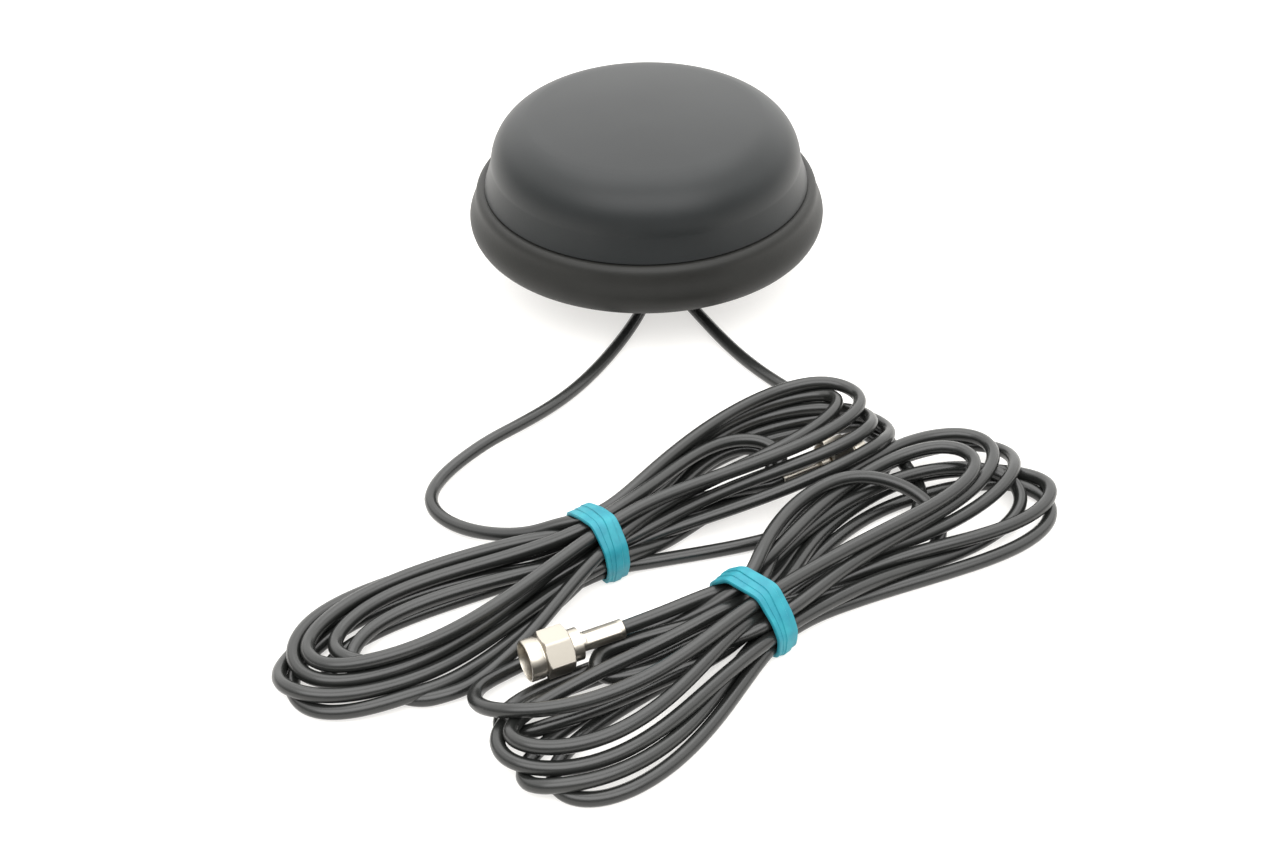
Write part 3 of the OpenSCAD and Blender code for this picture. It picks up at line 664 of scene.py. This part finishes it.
def lathe(name, outline, material, around=160, sharp=35.0, caps=()):
    """A closed outline of (radius, height) turned about the Z axis. Caps fill the gap between two
    outline points that lie near the axis, one cap for each of them."""
    points = []
    for r, z in outline:
        for k in range(around):
            a = 2 * math.pi * k / around
            points.append((r * math.cos(a), r * math.sin(a), z))
    faces = ring_faces(len(outline), around, True)
    for row in caps:
        faces = [f for f in faces if not (f[0] // around == caps[0] and f[2] // around == caps[1])]
        ring = [row * around + k for k in range(around)]
        centre = len(points)
        points.append((0, 0, outline[row][1]))
        for k in range(around):
            pair = (ring[k], ring[(k + 1) % around])
            faces.append((*pair, centre) if row == caps[0] else (*pair[::-1], centre))
    return new_mesh(name, points, faces, material, sharp)


def arc_points(cx, cy, r, start, end, steps):
    return [
        (cx + r * math.cos(math.radians(start + (end - start) * i / steps)),
         cy + r * math.sin(math.radians(start + (end - start) * i / steps)))
        for i in range(steps + 1)
    ]


# ---------------------------------------------------------------- housing

DROP = 13.4
SEAM_R = 38.6
SEAM_Z = 24.7
TOP_Z = 42.8
BASE_R = 40.9
WALL = 2.2
SHOULDER = 11.5
SHOULDER_R = SEAM_R - 2 - SHOULDER
SHOULDER_Z = TOP_Z - 1.2 - SHOULDER
SHOULDER_ARC = 78
CROWN_RINGS = 14
CROWN_POWER = 2.2
LIP_R = 36.0
LIP_DEPTH = 3.2
PLATE_TOP = 18.0
PLATE_R = 37.4


def dome_outline(inset):
    """Outside or inside of the radome, from its seam to just short of the axis."""
    points = [(SEAM_R - 0.5 - inset, SEAM_Z), (SEAM_R - 0.2 - inset, SEAM_Z + 0.12)]
    points += arc_points(SHOULDER_R, SHOULDER_Z, SHOULDER - inset, 0, SHOULDER_ARC, 26)
    edge_r, edge_z = points[-1]
    top = TOP_Z - inset
    for k in range(1, CROWN_RINGS + 1):
        share = 1 - k / (CROWN_RINGS + 0.3)
        points.append((edge_r * share, top - (top - edge_z) * share ** CROWN_POWER))
    return points


def make_radome():
    outside = dome_outline(0)
    inside = dome_outline(WALL)[::-1]
    lip = [(LIP_R - 1.6, SEAM_Z - LIP_DEPTH), (LIP_R, SEAM_Z - LIP_DEPTH), (LIP_R, SEAM_Z)]
    crown = len(lip) + len(outside) - 1
    radome = lathe("radome_shell", lip + outside + inside, RADOME, caps=(crown, crown + 1))
    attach(radome, "housing")
    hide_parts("radome")


BULGE = 1.45
# The skirt's swelling: share of the bulge, and height above the bottom edge
SKIRT_SWELL = [
    (0.33, 0.7), (0.58, 1.3), (0.79, 1.95), (0.92, 2.6), (0.99, 3.3), (1.0, 3.9), (0.94, 4.6),
    (0.81, 5.25), (0.64, 5.9), (0.45, 6.55), (0.27, 7.15), (0.12, 7.7), (0.01, 8.2),
]
# The skirt's rounded upper edge: beyond the seam's radius, and below the seam
SKIRT_EDGE = [
    (2.17, 2.6), (2.08, 2.1), (1.96, 1.6), (1.76, 1.1), (1.5, 0.7), (1.15, 0.36), (0.75, 0.12),
    (0.3, 0.02), (-0.1, 0.12),
]


def make_skirt():
    outline = [(PLATE_R - 0.4, DROP), (BASE_R - 0.3, DROP)]
    outline += arc_points(BASE_R - 0.3, DROP + 0.35, 0.35, -90, -20, 4)
    outline += [(BASE_R + BULGE * rise, DROP + up) for rise, up in SKIRT_SWELL]
    outline += [(SEAM_R + beyond, SEAM_Z - below) for beyond, below in SKIRT_EDGE]
    outline += [(LIP_R + 0.05, SEAM_Z - 0.12)]
    outline += [(LIP_R + 0.05, PLATE_TOP + 0.05), (PLATE_R + 0.05, PLATE_TOP + 0.05)]
    outline += [(PLATE_R + 0.05, DROP + 2), (PLATE_R - 0.4, DROP + 2)]
    skirt = lathe("rubber_skirt", outline, SKIRT)
    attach(skirt, "housing")
    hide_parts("skirt")


make_radome()
make_skirt()

# ---------------------------------------------------------------- plugs

AROUND = 96


def plug_place(plug):
    turn = Matrix.Rotation(math.radians(plug["turn"]), 4, "Z")
    return Matrix.Translation(Vector(plug["at"]) * MM) @ turn


def barrel(name, stations, plug, material, sharp=28.0):
    """A hollow turned piece. A station is (x along the plug, a radius or a function of the angle)."""
    points = []
    for x, radius in stations:
        for k in range(AROUND):
            a = 2 * math.pi * k / AROUND
            r = radius(a) if callable(radius) else radius
            points.append((x, r * math.cos(a), r * math.sin(a)))
    obj = new_mesh(name, points, ring_faces(len(stations), AROUND, True), material, sharp)
    obj.data.transform(plug_place(plug))
    return obj


def hexagon(flats, limit, roll):
    """Radius by angle of a hexagon, cut by a circle of radius limit."""
    def radius(a):
        turn = (a - math.radians(roll)) % (math.pi / 3) - math.pi / 6
        return min(flats / 2 / math.cos(turn), limit)
    return radius


def make_coupling_nut(side, plug):
    half = HEX_FLATS / 2
    corner = half / math.cos(math.pi / 6)
    hex_l = HEX_END - COUPLING_AT
    stations = []
    for share in np.linspace(0, 1, 6):
        limit = half - 0.25 + (corner - half + 0.3) * share
        stations.append((COUPLING_AT + 0.45 * share, hexagon(HEX_FLATS, limit, NUT_ROLL)))
    stations.append((COUPLING_AT + hex_l / 2, hexagon(HEX_FLATS, corner + 0.1, NUT_ROLL)))
    for share in np.linspace(1, 0, 6):
        limit = RING_R - 0.2 + (corner - RING_R + 0.25) * share
        stations.append((HEX_END - 0.5 * share, hexagon(HEX_FLATS, limit, NUT_ROLL)))
    stations += [(HEX_END + 0.1, RING_R - 0.3), (HEX_END + 0.3, RING_R - 0.3)]
    stations += [(HEX_END + 0.4, RING_R - 0.05), (HEX_END + 0.55, RING_R)]
    stations += [(COUPLING_END - 0.3, RING_R), (COUPLING_END - 0.1, RING_R - 0.08)]
    stations += [(COUPLING_END, RING_R - 0.2), (COUPLING_END, MOUTH_R + 0.05)]
    stations += [(COUPLING_END - 0.15, MOUTH_R)]
    inner = len(stations)
    stations += [(COUPLING_END - MOUTH_L, MOUTH_R)]
    x = COUPLING_END - MOUTH_L - 0.1
    while x - THREAD_PITCH > BORE_END:
        stations += [(x, THREAD_R + 0.3), (x - THREAD_PITCH * 0.45, THREAD_R)]
        stations += [(x - THREAD_PITCH * 0.6, THREAD_R)]
        x -= THREAD_PITCH
    stations += [(BORE_END, THREAD_R + 0.1), (BORE_END, NECK_BORE), (COUPLING_AT, NECK_BORE)]
    nut = barrel("hex_coupling_" + side, stations, plug, NICKEL)
    # The faces inside the bore take the darkened thread material, which carries painted shade.
    nut.data.materials.append(THREAD_WITH_PAINTED_SHADE)
    for face in nut.data.polygons:
        face.material_index = 1 if face.index // AROUND > inner else 0
    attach(nut, "coupling_" + side)
    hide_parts("coupling_nut_" + side)


def make_ferrule(side, plug):
    crimp = hexagon(3.42, FERRULE_R, 20)
    stations = [(0, FERRULE_R - 0.12), (0.12, FERRULE_R), (0.75, FERRULE_R), (1.0, crimp), (7.6, crimp)]
    stations += [(7.9, FERRULE_R), (FERRULE_L - 0.12, FERRULE_R), (FERRULE_L, FERRULE_R - 0.1)]
    stations += [(FERRULE_L, 1.45), (0, 1.45)]
    sleeve = barrel("crimp_ferrule_" + side, stations, plug, NICKEL, 20.0)
    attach(sleeve, "housing")
    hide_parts("ferrule_" + side)


for side, plug in PLUGS.items():
    make_coupling_nut(side, plug)
    make_ferrule(side, plug)

# ---------------------------------------------------------------- rubber bands

HANK_HALF_WIDTH = 14
STRAIGHT_LEAD = 30  # first points of a lead, well before its hank


def outline_at_waist(hank, path, grow):
    """Convex outline round the strands that cross the waist, seen along the hank."""
    a = math.radians(hank["turn"])
    rel = path[:, :2] - np.array(hank["waist"])
    along = rel @ np.array([math.cos(a), math.sin(a)])
    across = rel @ np.array([-math.sin(a), math.cos(a)])
    near = (np.abs(along) < BAND_W / 2) & (np.abs(across) < HANK_HALF_WIDTH)
    near &= np.arange(len(path)) > STRAIGHT_LEAD
    angles = np.linspace(0, 2 * math.pi, 24, endpoint=False)
    centres = np.stack([across[near], path[near, 2]], axis=1)
    ring = np.stack([np.cos(angles), np.sin(angles)], axis=1) * (LEAD_R + grow)
    cloud = (centres[:, None, :] + ring[None, :, :]).reshape(-1, 2)
    hull = convex_outline(cloud)
    closed = np.vstack([hull, hull[:1]])
    lengths = np.concatenate([[0], np.cumsum(np.linalg.norm(np.diff(closed, axis=0), axis=1))])
    at = np.linspace(0, lengths[-1], 120, endpoint=False)
    loop = np.stack([np.interp(at, lengths, closed[:, k]) for k in range(2)], axis=1)
    for _ in range(4):
        loop = (np.roll(loop, 1, 0) + 2 * loop + np.roll(loop, -1, 0)) / 4
    return loop


def convex_outline(points):
    order = points[np.lexsort((points[:, 1], points[:, 0]))]

    def half(sequence):
        chain = []
        for p in sequence:
            while len(chain) > 1:
                u = chain[-1] - chain[-2]
                v = p - chain[-2]
                if u[0] * v[1] - u[1] * v[0] > 0:
                    break
                chain.pop()
            chain.append(p)
        return chain[:-1]
    return np.array(half(order) + half(order[::-1]))


WRAPS = [
    {"at": -1.75, "tilt": 0.35, "turn": 20, "lift": 0.0},
    {"at": -0.35, "tilt": -0.45, "turn": 140, "lift": 0.12},
    {"at": 0.75, "tilt": 0.5, "turn": 250, "lift": 0.3},
    {"at": 1.9, "tilt": 0.3, "turn": 60, "lift": 0.05},
]
WRAP_W = 1.7
WRAP_T = 0.85
# The flat strip's section, in half widths and half thicknesses, with its corners cut
STRIP = [
    (-1, -0.6), (-0.85, -1), (0.85, -1), (1, -0.6), (1, 0.6), (0.85, 1), (-0.85, 1), (-1, 0.6),
]
GATHER = 0.22  # share by which the wraps draw together on one side of the hank
GATHER_AT = 2.2
LOWEST = 0.02


def make_band(side, hank, path):
    """Four wraps of one flat rubber band round the hank's waist."""
    points = []
    faces = []
    section = [(0.5 * WRAP_W * sx, 0.5 * WRAP_T * sy) for sx, sy in STRIP]
    for wrap in WRAPS:
        loop = outline_at_waist(hank, path, WRAP_T / 2 + wrap["lift"])
        step = np.roll(loop, -1, 0) - np.roll(loop, 1, 0)
        out = np.stack([step[:, 1], -step[:, 0]], axis=1)
        out /= np.linalg.norm(out, axis=1, keepdims=True)
        first = len(points)
        for k, (p, n) in enumerate(zip(loop, out)):
            a = 2 * math.pi * k / len(loop)
            shift = wrap["at"] + wrap["tilt"] * math.sin(a + math.radians(wrap["turn"]))
            shift *= 1 - GATHER * (1 - math.cos(a + GATHER_AT)) / 2
            for s, t in section:
                across = p[0] + n[0] * t
                z = max(p[1] + n[1] * t, LOWEST)
                points.append(in_hank(hank, shift + s, across, z))
        count = len(section)
        faces += [tuple(first + v for v in f) for f in ring_faces(len(loop), count, True)]
    band = new_mesh("rubber_band_" + side, points, faces, BAND, 50.0)
    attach(band, "housing")
    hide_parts("band_" + side)


make_band("a", HANK_A, path_a)
make_band("b", HANK_B, path_b)

# ---------------------------------------------------------------- leads


def finish_lead(side, lead):
    dress(lead, JACKET)
    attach(lead, "housing")
    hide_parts("lead_" + side, "hank_" + side, "tail_" + side)
    plug = [bpy.data.objects["hex_coupling_" + side], bpy.data.objects["crimp_ferrule_" + side]]
    inner = ("plug_body_", "dielectric_", "centre_pin_", "snap_ring_", "plug_seal_")
    plug += [NODES[name + side] for name in inner]


finish_lead("a", lead_a)
finish_lead("b", lead_b)

# ---------------------------------------------------------------- stage and light

FLOOR_GLOW = 0.62
FLOOR_HALF = 3.0


def make_floor():
    """A pale table, lit a little from below."""
    mesh = bpy.data.meshes.new("floor")
    corners = [(FLOOR_HALF * x, FLOOR_HALF * y, 0) for x, y in ((-1, -1), (1, -1), (1, 1), (-1, 1))]
    mesh.from_pydata(corners, [], [(0, 1, 2, 3)])
    floor = bpy.data.objects.new("floor", mesh)
    bpy.context.scene.collection.objects.link(floor)
    material, tree, principled = shader("pale_floor", (0.42, 0.415, 0.405), 0.7, Specular_IOR_Level=0.2)
    principled.inputs["Emission Color"].default_value = (1, 0.985, 0.96, 1)
    principled.inputs["Emission Strength"].default_value = FLOOR_GLOW
    dress(floor, material)


def area_light(name, place, aim, size, power, color=(1, 1, 1)):
    data = bpy.data.lights.new(name, "AREA")
    data.shape = "RECTANGLE"
    data.size, data.size_y = size
    data.energy = power
    data.color = color
    light = bpy.data.objects.new(name, data)
    light.location = place
    light.rotation_euler = (Vector(aim) - Vector(place)).to_track_quat("-Z", "Y").to_euler()
    bpy.context.scene.collection.objects.link(light)


SKY_TOP = 2.5
SKY_LOW = 0.6
SKY_TOWARD = (0.05, 0.35, 0.94)


def make_world():
    """A light tent: bright overhead and behind, dimmer low on the camera's side."""
    world = bpy.data.worlds.new("studio")
    world.use_nodes = True
    tree = world.node_tree
    place = tree.nodes.new("ShaderNodeTexCoord")
    toward = tree.nodes.new("ShaderNodeVectorMath")
    toward.operation = "DOT_PRODUCT"
    toward.inputs[1].default_value = SKY_TOWARD
    level = tree.nodes.new("ShaderNodeMapRange")
    level.interpolation_type = "SMOOTHSTEP"
    level.inputs["From Min"].default_value = 0.08
    level.inputs["From Max"].default_value = 0.58
    level.inputs["To Min"].default_value = SKY_LOW
    level.inputs["To Max"].default_value = SKY_TOP
    background = tree.nodes["Background"]
    background.inputs["Color"].default_value = (1, 0.995, 0.98, 1)
    tree.links.new(place.outputs["Generated"], toward.inputs[0])
    tree.links.new(toward.outputs["Value"], level.inputs["Value"])
    tree.links.new(level.outputs["Result"], background.inputs["Strength"])
    bpy.context.scene.world = world


def make_light():
    make_world()
    area_light("overhead", (0, 0.25, 0.9), (0, -0.05, 0), (0.9, 0.7), 4)
    area_light("above_camera", (0, -0.62, 0.78), (0, 0, 0.03), (1.6, 0.7), 9)
    scene = bpy.context.scene
    scene.view_settings.view_transform = "Standard"
    scene.view_settings.look = "None"


make_floor()
make_light()
